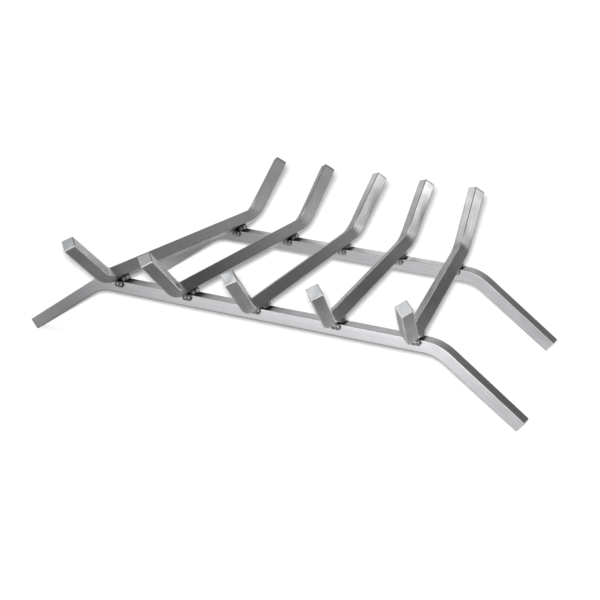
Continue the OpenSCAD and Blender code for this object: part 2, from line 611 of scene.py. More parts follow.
@dataclass(frozen=True)
class BrushedSteel(Finish):
    """Stainless bar, ground along its length, with heat tint near the welds."""

    tone: float = 0.64
    tone_low: float = 0.56
    tint: tuple[float, float, float] = (1.0, 1.0, 1.0)
    roughness: float = 0.3
    roughness_high: float = 0.4
    anisotropy: float = 0.45
    wear: float = 0.8
    wear_polish: float = 0.08
    tint_roughness: float = 0.25
    # Depth of the painted edge shade.
    painted_shade: float = 0.55
    patch_share: float = 0.45
    smudges: Speckle = Speckle(55.0, 4.0, 0.6)
    waves: Speckle = Speckle(26.0, 1.0, 0.4)
    wave_height: float = 14.0
    bump_depth: float = 0.01 * MM

    def dress(self, tree: NodeTree, shader: bpy.types.Node) -> None:
        """Wires grain, patches, painted light and shade, painted edge shade, heat tint and edge
        wear.

        Args:
            tree: The material's tree.
            shader: Its Principled BSDF.
        """
        shelf, edge = self.shelf, tree.painted(EDGE_ATTRIBUTE)
        body = tree.add("TexCoord").outputs["Object"]
        smudge = tree.noise(body, self.smudges)
        grain = tree.group(shelf.grain, Place=tree.add("UVMap", uv_map=GRAIN_MAP).outputs[0])
        blend = tree.blend(grain["Streak"], grain["Patch"], self.patch_share)
        # Painted edge shade along the edge mask, times the painted light and shade of the tone
        # attribute.
        left = tree.group(shelf.painted_shade, Mask=edge, Depth=self.painted_shade)["Lightness"]
        lightness = tree.math("MULTIPLY", tree.painted(PAINTED_SHADING_ATTRIBUTE), left)
        ground = tree.mix(blend, shade(self.tone_low, self.tint), shade(self.tone, self.tint))
        heat = tree.group(shelf.heat, Color=tree.scale(ground, lightness),
                          Mask=tree.painted(HEAT_ATTRIBUTE), Break_up=smudge)
        wear = tree.group(shelf.wear, Color=heat["Color"], Break_up=smudge,
                          Mask=tree.math("MULTIPLY", edge, self.wear, clamp=True))
        rough = tree.ramp(blend, 0.0, 1.0, self.roughness_high, self.roughness)
        rough = tree.math("SUBTRACT", rough, tree.math("MULTIPLY", wear["Wear"], self.wear_polish))
        rough = tree.math("ADD", rough, tree.math("MULTIPLY", heat["Tint"], self.tint_roughness))
        wave = tree.math("MULTIPLY", tree.noise(body, self.waves), self.wave_height)
        relief = tree.bump(tree.math("ADD", grain["Height"], wave), self.bump_depth)
        tangent = tree.add("Tangent", direction_type="UV_MAP", uv_map=GRAIN_MAP)
        tree.set(shader, Base_Color=wear["Color"], Roughness=rough, Metallic=1.0, Normal=relief,
                 Anisotropic=self.anisotropy, Tangent=tangent.outputs[0])


@dataclass(frozen=True)
class CutSteel(Finish):
    """Square-cut bar end, with the curved marks of the grinding disc."""

    tone: float = 0.86
    tone_low: float = 0.68
    tint: tuple[float, float, float] = (0.985, 1.0, 1.02)
    roughness: float = 0.36
    roughness_gain: float = 0.1
    # Depth of the painted edge shade.
    painted_shade: float = 0.6
    disc_centre: tuple[float, float, float] = (20 * MM, 28 * MM, 0)
    mark_scale: float = 210.0
    mark_distortion: float = 3.0
    mark_detail: float = 3.0
    mark_detail_scale: float = 2.0
    smudges: Speckle = Speckle(160.0, 4.0, 0.6)
    smudge_span: Span = (0.3, 0.7)
    smudge_share: float = 0.6
    bump_depth: float = 0.04 * MM

    def dress(self, tree: NodeTree, shader: bpy.types.Node) -> None:
        """Wires the disc marks, smudges, painted edge shade and edge wear.

        Args:
            tree: The material's tree.
            shader: Its Principled BSDF.
        """
        edge, place = tree.painted(EDGE_ATTRIBUTE), tree.add("UVMap", uv_map=GRAIN_MAP).outputs[0]
        shifted = tree.vector("ADD", place, self.disc_centre).outputs[0]
        marks = tree.add("TexWave", wave_type="RINGS", rings_direction="Z")
        tree.set(marks, Vector=shifted, Scale=self.mark_scale, Distortion=self.mark_distortion,
                 Detail=self.mark_detail, Detail_Scale=self.mark_detail_scale)
        smudge = tree.noise(tree.add("TexCoord").outputs["Object"], self.smudges)
        blend = tree.blend(marks.outputs["Fac"], tree.ramp(smudge, *self.smudge_span),
                           self.smudge_share)
        # Painted edge shade along the cut's rim.
        left = tree.group(self.shelf.painted_shade, Mask=edge, Depth=self.painted_shade)["Lightness"]
        ground = tree.mix(blend, shade(self.tone_low, self.tint), shade(self.tone, self.tint))
        wear = tree.group(self.shelf.wear, Color=tree.scale(ground, left), Break_up=smudge,
                          Mask=tree.math("MAXIMUM", edge, 0.0))
        rough = tree.ramp(blend, 0.0, 1.0, self.roughness + self.roughness_gain, self.roughness)
        tree.set(shader, Base_Color=wear["Color"], Roughness=rough, Metallic=1.0,
                 Normal=tree.bump(marks.outputs["Fac"], self.bump_depth))


@dataclass(frozen=True)
class WeldMetal(Finish):
    """Weld bead: dark where it met the bars, shiny on its ripples."""

    tone: float = 0.16
    tone_low: float = 0.03
    soot_tint: tuple[float, float, float] = (1.0, 0.95, 0.92)
    burnt: Colour = (0.035, 0.032, 0.03, 1)
    polished: Colour = (0.64, 0.64, 0.65, 1)
    roughness: float = 0.22
    roughness_gain: float = 0.2
    smudges: Speckle = Speckle(420.0, 4.0, 0.6)
    soot_span: Span = (0.35, 0.65)
    polish_span: Span = (0.34, 0.54)
    grit: Speckle = Speckle(1500.0, 2.0, 0.6)
    grit_depth: float = 0.08 * MM

    def dress(self, tree: NodeTree, shader: bpy.types.Node) -> None:
        """Wires the heat tint, soot and polished ripple tops.

        Args:
            tree: The material's tree.
            shader: Its Principled BSDF.
        """
        body = tree.add("TexCoord").outputs["Object"]
        smudge = tree.noise(body, self.smudges)
        soot = tree.ramp(smudge, *self.soot_span)
        base = tree.mix(soot, shade(self.tone), shade(self.tone_low, self.soot_tint))
        heat = tree.group(self.shelf.heat, Color=base, Mask=tree.painted(HEAT_ATTRIBUTE),
                          Break_up=smudge, Dark=self.burnt)
        wear = tree.group(self.shelf.wear, Color=heat["Color"], Mask=tree.painted(EDGE_ATTRIBUTE),
                          Break_up=tree.ramp(smudge, *self.polish_span), Bright=self.polished)
        rough = tree.ramp(soot, 0.0, 1.0, self.roughness, self.roughness + self.roughness_gain)
        tree.set(shader, Base_Color=wear["Color"], Roughness=rough, Metallic=1.0,
                 Normal=tree.bump(tree.noise(body, self.grit), self.grit_depth))


# --------------------------------------------------------------------------------------------
# Meshes
# --------------------------------------------------------------------------------------------

def smooth(value: float) -> float:
    """Smoothstep of a value clamped to 0..1."""
    value = min(max(value, 0.0), 1.0)
    return value * value * (3 - 2 * value)


def bell(value: float, width: float, middle: float = 0.0) -> float:
    """Bell curve: 1 at its middle, and 1/e at one width from there."""
    return math.exp(-((value - middle) / width) ** 2)


def add_object(name: str, data: bpy.types.ID) -> bpy.types.Object:
    """Adds an object with the given data to the scene.

    Args:
        name: Name of the object.
        data: Its mesh, lamp or camera.

    Returns:
        The object.
    """
    made = bpy.data.objects.new(name, data)
    bpy.context.scene.collection.objects.link(made)
    return made


@dataclass(frozen=True)
class HotLine:
    """Centreline of a weld, its radius and how far its tint spreads.

    The tint starts at the lowest height and is full one fade above it.
    """

    start: Vector
    stop: Vector
    radius: float
    spread: float
    lowest: float = 0.0
    fade: float = 0.8 * MM

    def distance(self, place: Vector) -> float:
        """Distance from a place to the weld's surface.

        Args:
            place: The place in the grate's frame.

        Returns:
            The distance, 0 inside the weld.
        """
        way = self.stop - self.start
        share = min(max((place - self.start).dot(way) / way.length_squared, 0.0), 1.0)
        return max((place - (self.start + way * share)).length - self.radius, 0.0)


@dataclass(frozen=True)
class HeatField:
    """Places of the welds, which tint the steel around them."""

    lines: tuple[HotLine, ...]
    share: float = 1.0

    def at(self, place: Vector) -> float:
        """Tint at a place, from 0 far away to 1 at a weld's surface."""
        return max(bell(line.distance(place), line.spread * self.share)
                   * smooth((place.z - line.lowest) / line.fade) for line in self.lines)


@dataclass(frozen=True)
class SectionPoint:
    """One point of the bar's section, across and along the bend's plane."""

    across: float
    inward: float
    girth: float
    edge: float
    face: Face
    share: float

    @property
    def corner(self) -> int:
        """Number of the nearest corner; corner 0 is where the first face starts."""
        return (self.face.value + round(self.share)) % 4


@dataclass(frozen=True)
class PaintedShading:
    """A soft stretch of painted light or painted shade on one face of a bar.

    The middle is a place along the bar, measured from its own middle towards the rear. A lean of
    1 or -1 keeps the stretch to the face's anticlockwise or clockwise edge.
    """

    face: Face
    middle: float
    reach: float
    gain: float
    lean: int = 0

    def at(self, point: SectionPoint, place: float) -> float:
        """How much lighter the stretch's painted light or shade makes a point of the section.

        Args:
            point: The point of the section.
            place: Where along the bar it is.

        Returns:
            The gain in lightness, 1 for none.
        """
        if point.face is not self.face:
            return 1.0
        across = 1.0
        if self.lean:
            across = smooth(point.share if self.lean > 0 else 1 - point.share)
        return 1 + (self.gain - 1) * across * bell(place, self.reach, self.middle)


@dataclass(frozen=True)
class Station:
    """One place along a bent bar, with the directions of its section.

    In a bend, the corner is where the straight and the finger would meet.
    """

    place: Vector
    along: Vector
    inward: Vector
    length: float
    corner: Vector | None = None


@dataclass(frozen=True)
class TipWear:
    """A knocked-back corner of a bar's end; one with a negative depth stands out.

    The width is the share of the way from the end's middle where the slope starts.
    """

    corner: float
    depth: float
    width: float = 0.5
    curve: float = 1.6


@dataclass(frozen=True)
class Tip:
    """One end of a bar: how far it is rounded and which of its corners are off square."""

    bevel: float = 0.6 * MM
    wears: tuple[TipWear, ...] = ()
    reach: float = 9 * MM


@dataclass(frozen=True)
class BentBar:
    """Square bar along local Y whose two ends turn up towards local Z.

    A run is the distance from the bar's middle to the corner of a bend, and a length goes on from
    there to the tip. Edges are worn bright, but the shaded corners past one place along the bar
    and all edges past another get painted shade instead. The tip support is how many bevels before
    a tip a ring keeps it straight.
    """

    stock: BarStock
    front_run: float
    rear_run: float
    front_length: float
    rear_length: float
    angle: float
    radius: float
    turned: float
    front_tip: Tip = Tip()
    rear_tip: Tip = Tip()
    # Stretches of painted light and painted shade on the bar's faces.
    painted_shading: tuple[PaintedShading, ...] = ()
    crossings: tuple[float, ...] = ()
    inner_tightening: float = 0.0
    # Corners that get painted shade, and the places along the bar past which some or all edges get
    # it.
    shaded_corners: tuple[int, ...] = ()
    shaded_after: float = -1.0
    all_shaded_after: float = 1.0
    straight_step: float = 7 * MM
    fine_step: float = 2 * MM
    fine_reach: float = 18 * MM
    end_step: float = 7 * MM
    bend_steps: int = 14
    bevel_steps: int = 3
    tip_support: int = 3
    cut_rings: tuple[float, ...] = (0.06, 0.25, 0.5, 0.75)

    def section(self) -> list[SectionPoint]:
        """Rounded square, anticlockwise, starting at the edge that faces away from the bend.

        Returns:
            The points of the section.
        """
        half = self.stock.half - self.stock.worn_radius
        flat = 2 * half
        spots: list[tuple[Vector, float, Face, float]] = []
        for quarter in range(4):
            base = math.pi / 2 * quarter - math.pi * 3 / 4
            corner = Vector((math.cos(base), math.sin(base))) * half * math.sqrt(2)
            for step in range(self.stock.edge_steps + 1):
                turn = base - math.pi / 4 + math.pi / 2 * step / self.stock.edge_steps
                spot = corner + Vector((math.cos(turn), math.sin(turn))) * self.stock.worn_radius
                ahead = step > self.stock.edge_steps // 2
                face = Face((quarter if ahead else quarter - 1) % 4)
                spots.append((spot, 1.0, face, 0.0 if ahead else 1.0))
            way = Vector((-math.sin(base + math.pi / 4), math.cos(base + math.pi / 4)))
            start = spots[-1][0]
            steps = [flat * step / self.stock.flat_steps
                     for step in range(1, self.stock.flat_steps)]
            for share in [self.stock.support, *steps, flat - self.stock.support]:
                spots.append((start + way * share, 0.0, Face(quarter), share / flat))
        cosine, sine = math.cos(self.turned), math.sin(self.turned)
        points, girth, before = [], 0.0, spots[0][0]
        for spot, edge, face, share in spots:
            girth += (spot - before).length
            before = spot
            points.append(SectionPoint(spot.x * cosine - spot.y * sine,
                                       spot.x * sine + spot.y * cosine, girth, edge, face, share))
        return points

    def stations(self) -> list[Station]:
        """Places along the bar from the front tip to the rear tip.

        Returns:
            The stations, with the length measured from the front tip.
        """
        tangent = self.radius * math.tan(self.angle / 2)
        start, stop = tangent - self.front_run, self.rear_run - tangent
        total = self.radius * self.angle + self.front_length - tangent
        front = self.end_stations(self.front_run, self.front_length, -1, self.front_tip.bevel)
        rear = self.end_stations(self.rear_run, self.rear_length, 1, self.rear_tip.bevel)
        straight = [Station(Vector((0, y, 0)), Vector((0, 1, 0)), Vector((0, 0, 1)),
                            total + y - start) for y in self.straight_marks(start, stop)]
        return ([replace(spot, along=-spot.along, length=total - spot.length)
                 for spot in reversed(front)] + straight
                + [replace(spot, length=total + stop - start + spot.length) for spot in rear])

    def end_stations(self, run: float, length: float, sign: int, bevel: float) -> list[Station]:
        """Places along one end of the bar, with lengths measured from the end of the straight.

        Args:
            run: Distance from the bar's middle to the corner of the bend.
            length: Distance from that corner to the tip.
            sign: Direction of the end along Y.
            bevel: Rounding of the tip.

        Returns:
            The stations, from the bend to the tip.
        """
        tangent = self.radius * math.tan(self.angle / 2)
        corner, finger = Vector((0, sign * run, 0)), length - tangent
        centre = Vector((0, sign * (run - tangent), self.radius))
        found = []
        for step in range(1, self.bend_steps + 1):
            turn = self.angle * step / self.bend_steps
            inward = Vector((0, -sign * math.sin(turn), math.cos(turn)))
            along = Vector((0, sign * math.cos(turn), math.sin(turn)))
            found.append(Station(centre - inward * self.radius, along, inward,
                                 self.radius * turn, corner))
        last, count = found[-1], round(finger / self.end_step)
        near_tip = [finger - self.tip_support * bevel, finger - bevel]
        marks = [finger * step / count for step in range(1, count)]
        marks = [mark for mark in marks if mark < near_tip[0] - bevel] + near_tip
        return found + [Station(last.place + last.along * mark, last.along, last.inward,
                                last.length + mark) for mark in marks]

    def straight_marks(self, start: float, stop: float) -> list[float]:
        """Places of the rings along the straight, closer together at the crossings.

        Args:
            start: Where the straight starts.
            stop: Where it ends.

        Returns:
            The places, from the start to the end.
        """
        marks, y = [start], start
        while y < stop - self.fine_step:
            near = min((abs(y - crossing) for crossing in self.crossings), default=1.0)
            y += self.fine_step if near < self.fine_reach else self.straight_step
            marks.append(min(y, stop))
        marks[-1] = stop
        return marks

    def drawn_in(self, inset: float) -> float:
        """Share of the section's size that is left when it is drawn in by an inset."""
        return 1 - inset / self.stock.half

    def spot(self, station: Station, point: SectionPoint, inset: float) -> Vector:
        """Place of a section point at a station, with the bulge of the bend.

        Args:
            station: Where along the bar.
            point: Which point of the section.
            inset: How far the section is drawn in, for a bevelled end.

        Returns:
            The place in the bar's own frame.
        """
        side = Vector((1, 0, 0)) * point.across * self.drawn_in(inset)
        rise = point.inward * self.drawn_in(inset)
        if station.corner is None:
            return station.place + side + station.inward * rise
        tightened = max(0.0, rise / self.stock.edge_reach) * self.inner_tightening
        radius = self.radius - rise - tightened
        half = self.angle / 2
        bisector = Vector((0, -math.sin(half) * math.copysign(1, station.corner.y),
                           math.cos(half)))
        centre = station.corner + bisector * (rise + radius) / math.cos(half)
        return centre + side - station.inward * radius

    def tip_shift(self, point: SectionPoint, tip: Tip, inset: float) -> float:
        """How far a point of the end face is knocked back along the bar.

        Args:
            point: The point of the section.
            tip: The end that it is on.
            inset: How far the section is drawn in there.

        Returns:
            The distance, below 0 where the point stands out.
        """
        shift = 0.0
        for wear in tip.wears:
            way = Vector((math.cos(wear.corner), math.sin(wear.corner)))
            out = (way.x * point.across + way.y * point.inward) * self.drawn_in(inset)
            slope = (out / self.stock.edge_reach - wear.width) / (1 - wear.width)
            shift += wear.depth * max(0.0, slope) ** wear.curve
        return shift

    def edge_wear_and_shade(self, point: SectionPoint, along: float) -> float:
        """How a point of the bar's length is marked, by edge wear or painted shade.

        Args:
            point: The point of the section.
            along: Where along the bar it is.

        Returns:
            1 on a worn edge, -1 on one with painted shade and 0 on a face.
        """
        shaded = (along > self.all_shaded_after
                or (along > self.shaded_after and point.corner in self.shaded_corners))
        return -point.edge if shaded else point.edge

    def build(self, name: str, to_grate: Matrix, heat: HeatField) -> bpy.types.Object:
        """Builds the bar as one closed mesh.

        Args:
            name: Name of the object.
            to_grate: Matrix from the bar's frame to the grate's.
            heat: Where the welds have tinted the steel.

        Returns:
            The object, with slot 0 for the bar's length and slot 1 for its cut ends.
        """
        points, stations = self.section(), self.stations()
        first, last = stations[0].length, stations[-1].length
        mesh = bmesh.new()
        mesh.loops.layers.uv.new(GRAIN_MAP)
        hot = mesh.verts.layers.float.new(HEAT_ATTRIBUTE)
        edge = mesh.verts.layers.float.new(EDGE_ATTRIBUTE)
        tone = mesh.verts.layers.float.new(PAINTED_SHADING_ATTRIBUTE)

        def ring(station: Station, inset: float = 0.0, back: float = 0.0,
                 rim: float | None = None) -> list[bmesh.types.BMVert]:
            """Makes one ring of vertices, with the wear of the nearer tip.

            Args:
                station: Where along the bar.
                inset: How far the section is drawn in.
                back: How far the ring is set back from the station, away from the tip.
                rim: Share of the cut's rim marking, its burr and painted shade, that the ring has,
                    or None on the bar's length.

            Returns:
                The ring.
            """
            made, along = [], station.length - (first + last) / 2
            tip, outward = (self.rear_tip, 1) if along > 0 else (self.front_tip, -1)
            worn = smooth(1 - ((last - first) / 2 - abs(along)) / tip.reach)
            for point in points:
                shift = back + self.tip_shift(point, tip, inset) * worn
                place = self.spot(station, point, inset) - station.along * outward * shift
                vert = mesh.verts.new(to_grate @ place)
                vert[hot] = heat.at(vert.co)
                # Edge wear and painted edge shade, and on the cut's rim its burr and painted
                # shade.
                vert[edge] = (self.edge_wear_and_shade(point, along) if rim is None
                              else rim * point.face.rim_shine)
                # Painted light and painted shade of the stretches on this face.
                vert[tone] = math.prod(listed.at(point, along) for listed in self.painted_shading)
                made.append(vert)
            return made

        rings = [ring(station) for station in stations]
        # The cut's rim at both ends: bright burr and painted shade.
        for ended in (rings[0], rings[-1]):
            for vert, point in zip(ended, points):
                vert[edge] = point.face.rim_shine
        self.skin(mesh, rings, [station.length for station in stations])
        self.close_end(mesh, rings[0], stations[0], self.front_tip.bevel, ring)
        self.close_end(mesh, rings[-1], stations[-1], self.rear_tip.bevel, ring)
        cut_at_floor(mesh)
        bmesh.ops.recalc_face_normals(mesh, faces=mesh.faces)
        return finish_mesh(mesh, name)

    def skin(self, mesh: bmesh.types.BMesh, rings: list[list[bmesh.types.BMVert]],
             lengths: list[float]) -> None:
        """Spans the bar's length between its rings, and lays the grain's map along it.

        Args:
            mesh: The bar's mesh.
            rings: Its rings, from the front tip to the rear tip.
            lengths: Place of each ring, measured along the bar.
        """
        uv, points = mesh.loops.layers.uv[GRAIN_MAP], self.section()
        for (low, start), (high, stop) in zip(zip(rings, lengths), zip(rings[1:], lengths[1:])):
            for step, point in enumerate(points):
                after = (step + 1) % len(points)
                face = mesh.faces.new((low[step], low[after], high[after], high[step]))
                wide = points[after].girth if after else point.girth + self.stock.support
                for loop, spot in zip(face.loops, ((start, point.girth), (start, wide),
                                                   (stop, wide), (stop, point.girth))):
                    loop[uv].uv = spot

    def close_end(self, mesh: bmesh.types.BMesh, last: list[bmesh.types.BMVert],
                  station: Station, bevel: float,
                  ring: Callable[..., list[bmesh.types.BMVert]]) -> None:
        """Closes a bar's end with a bevel and a flat cut face.

        Args:
            mesh: The bar's mesh.
            last: The last ring of the bar's length, one bevel away from the cut.
            station: Where that ring is.
            bevel: How far the end is rounded.
            ring: The function that makes a ring.
        """
        uv, points = mesh.loops.layers.uv[GRAIN_MAP], self.section()

        def span(corners: list[tuple[bmesh.types.BMVert, int, float]]) -> None:
            """Makes a face of the cut, with its map laid across the end.

            Args:
                corners: Each vertex, the section point that it stands for and its inset.
            """
            face = mesh.faces.new([vert for vert, _, _ in corners])
            face.material_index = CUT_SLOT
            for loop, (_, index, inset) in zip(face.loops, corners):
                left = self.drawn_in(inset)
                loop[uv].uv = (points[index].across * left, points[index].inward * left)

        turns = [math.pi / 2 * step / self.bevel_steps for step in range(1, self.bevel_steps + 1)]
        insets = [(bevel * (1 - math.cos(turn)), bevel * (1 - math.sin(turn)), 1.0)
                  for turn in turns]
        insets += [(bevel + share * self.stock.half, 0.0, 0.0) for share in self.cut_rings]
        before, drawn = last, 0.0
        for inset, back, rim in insets:
            made = ring(station, inset, back - bevel, rim)
            for step in range(len(points)):
                after = (step + 1) % len(points)
                span([(before[step], step, drawn), (before[after], after, drawn),
                      (made[after], after, inset), (made[step], step, inset)])
            before, drawn = made, inset
        span([(vert, index, drawn) for index, vert in enumerate(before)])


def cut_at_floor(mesh: bmesh.types.BMesh) -> None:
    """Cuts off what is under the floor, and closes the mesh there with cut steel.

    Args:
        mesh: The mesh, in the grate's frame.
    """
    bmesh.ops.bisect_plane(mesh, geom=mesh.verts[:] + mesh.edges[:] + mesh.faces[:],
                           plane_co=(0, 0, 0), plane_no=(0, 0, 1), clear_inner=True)
    open_edges = [edge for edge in mesh.edges if len(edge.link_faces) == 1]
    if open_edges:
        for face in bmesh.ops.holes_fill(mesh, edges=open_edges)["faces"]:
            face.material_index = CUT_SLOT


def finish_mesh(mesh: bmesh.types.BMesh, name: str) -> bpy.types.Object:
    """Turns a bmesh into a smooth-shaded object in the scene.

    Args:
        mesh: The mesh, which is freed.
        name: Name of the object.

    Returns:
        The object.
    """
    data = bpy.data.meshes.new(name)
    for face in mesh.faces:
        face.smooth = True
    mesh.to_mesh(data)
    mesh.free()
    made = add_object(name, data)
    keep = made.modifiers.new("Flat faces stay flat", "WEIGHTED_NORMAL")
    keep.keep_sharp = True
    keep.weight = FLAT_FACE_WEIGHT
    return made


# --------------------------------------------------------------------------------------------
# Pieces of the grate
# --------------------------------------------------------------------------------------------

@dataclass
class Piece:
    """A piece of the grate that stands for one CAD node."""

    sizes: GrateSizes

    def node(self) -> str:
        """Name of the CAD node that the piece stands for."""
        raise NotImplementedError

    def seat(self, made: bpy.types.Object, slot: Slot,
             *materials: bpy.types.Material) -> bpy.types.Object:
        """Dresses a piece and seats it on the frame.

        Args:
            made: The piece's object.
            slot: The record's slot of the piece; not used.
            *materials: Its materials, in slot order.

        Returns:
            The object.
        """
        for material in materials:
            made.data.materials.append(material)
        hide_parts(self.node())
        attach(made, "root")
        LOG.info("%s: %d faces", made.name, len(made.data.polygons))
        return made


@dataclass
class Rail(Piece):
    """One rail, lying flat, with a splayed leg at each end."""

    row: Row = Row.FRONT
    # Stretches of painted light and painted shade on the rail's faces.
    painted_shading: tuple[PaintedShading, ...] = ()
    # Corners with painted shade: the top back and bottom front edges.
    shaded_corners: tuple[int, ...] = (1, 3)

    def node(self) -> str:
        """Name of the CAD node that the rail stands for."""
        return f"{self.row.value}_rail"

    def build(self, heat: HeatField) -> bpy.types.Object:
        """Builds the rail.

        Args:
            heat: Where the welds have tinted it.

        Returns:
            The rail's object.
        """
        sizes = self.sizes
        corner = sizes.rail_corner(self.row)
        bar = BentBar(stock=sizes.stock, front_run=corner, rear_run=corner,
                      front_length=sizes.leg_length, rear_length=sizes.leg_length,
                      angle=sizes.leg_angle, radius=sizes.leg_bend_radius, turned=0.0,
                      painted_shading=self.painted_shading, shaded_corners=self.shaded_corners,
                      crossings=tuple(sizes.bar_x(self.row, number) for number in BARS))
        place = Matrix.Translation((0, sizes.rail_y(self.row), sizes.rail_z))
        turn = Matrix.Rotation(math.pi / 2, 4, "Z") @ Matrix.Rotation(math.pi, 4, "X")
        return bar.build(f"{self.row.value}_rail_bar", place @ turn, heat)


@dataclass
class CrossBar(Piece):
    """One cross bar, set on edge, with a finger at each end."""

    number: int = 1
    front_tip: Tip = Tip()
    rear_tip: Tip = Tip()
    # Stretches of painted light and painted shade on the bar's faces.
    painted_shading: tuple[PaintedShading, ...] = ()
    inner_tightening: float = 19 * MM
    # Corners that get painted shade, and the places along the bar past which some or all edges get
    # it.
    shaded_corners: tuple[int, ...] = (1,)
    shaded_after: float = -0.155
    all_shaded_after: float = 0.17

    def node(self) -> str:
        """Name of the CAD node that the cross bar stands for."""
        return f"cross_bar_{self.number}"

    def build(self, heat: HeatField) -> bpy.types.Object:
        """Builds the cross bar.

        Args:
            heat: Where the welds have tinted it.

        Returns:
            The cross bar's object.
        """
        sizes, number = self.sizes, self.number
        half_span = sizes.rail_spacing / 2 / math.cos(sizes.fan(number))
        run = half_span + sizes.finger_overhang
        bar = BentBar(stock=sizes.stock, front_run=run + sizes.reach(number), rear_run=run,
                      front_length=sizes.front_finger_length,
                      rear_length=sizes.rear_finger_length, angle=sizes.finger_angle,
                      radius=sizes.finger_bend_radius, turned=math.pi / 4,
                      front_tip=self.front_tip, rear_tip=self.rear_tip, painted_shading=self.painted_shading,
                      crossings=(-half_span, half_span), inner_tightening=self.inner_tightening,
                      shaded_corners=self.shaded_corners, shaded_after=self.shaded_after,
                      all_shaded_after=self.all_shaded_after)
        height = (sizes.rail_top + sizes.stock.edge_circle * math.cos(sizes.turn(number))
                  + sizes.stock.edge_radius)
        place = (sizes.crossing(Row.FRONT, number) @ Matrix.Translation((0, half_span, height))
                 @ Matrix.Rotation(sizes.turn(number), 4, "Y"))
        return bar.build(f"cross_bar_{number}_bar", place, heat)


@dataclass(frozen=True)
class WeldRing:
    """One ring of a weld: its place, radius, burnt share and polished share."""

    y: float
    radius: float
    heat: float
    polish: float


@dataclass
class WeldPiece(Piece):
    """Common part of the welds: a lumpy closed mesh swept along a short line."""

    row: Row = Row.FRONT
    number: int = 1
    around: int = 22
    squash: float = 1.0
    lumpiness: float = 0.6 * MM
    lump_size: float = 300.0
    seam: float = 0.8 * MM
    seed_steps: tuple[float, float, float] = (3.7, 5.1, 2.3)

    def contact(self) -> Matrix:
        """Frame of the point where the bars touch, in the middle of the crossing."""
        shift = -self.sizes.stock.edge_circle * math.sin(self.sizes.turn(self.number))
        return (self.sizes.crossing(self.row, self.number)
                @ Matrix.Translation((shift, 0, self.sizes.rail_top)))

    def half_width(self) -> float:
        """Half the width of the rail along the cross bar."""
        return self.sizes.stock.half / math.cos(self.sizes.fan(self.number))

    def frame(self) -> Matrix:
        """Matrix from the weld's frame, with its line along +Y, to the grate's."""
        raise NotImplementedError

    def profile(self) -> list[WeldRing]:
        """The weld's rings from one pole to the other."""
        raise NotImplementedError

    def line(self) -> HotLine:
        """The weld's centreline in the grate's frame."""
        raise NotImplementedError

    def gap_to_bars(self, place: Vector) -> float:
        """Distance from a place, in the contact's frame, to the steel that the weld joins."""
        raise NotImplementedError

    def build(self) -> bpy.types.Object:
        """Builds the weld as one closed mesh.

        Returns:
            The weld's object.
        """
        place, mesh = self.frame(), bmesh.new()
        to_contact = self.contact().inverted()
        hot = mesh.verts.layers.float.new(HEAT_ATTRIBUTE)
        edge = mesh.verts.layers.float.new(EDGE_ATTRIBUTE)
        counts = (self.number, self.row.sign, len(self.node()))
        seed = Vector([step * count for step, count in zip(self.seed_steps, counts)])
        rings = []
        for ring in self.profile():
            made = []
            for step in range(self.around):
                turn = math.tau * step / self.around
                way = Vector((math.cos(turn), 0, math.sin(turn)))
                spot = way * ring.radius + Vector((0, ring.y, 0))
                spot += way * noise.noise(spot * self.lump_size + seed) * self.lumpiness
                spot.x *= self.squash
                vert = mesh.verts.new(place @ spot)
                seam = bell(self.gap_to_bars(to_contact @ vert.co), self.seam)
                vert[hot], vert[edge] = max(ring.heat, seam), ring.polish * (1 - seam)
                made.append(vert)
            rings.append(made)
        for low, high in zip(rings, rings[1:]):
            for step in range(self.around):
                after = (step + 1) % self.around
                mesh.faces.new((low[step], low[after], high[after], high[step]))
        mesh.faces.new(rings[0])
        mesh.faces.new(rings[-1])
        bmesh.ops.recalc_face_normals(mesh, faces=mesh.faces)
        return finish_mesh(mesh, f"{self.node()}_metal")


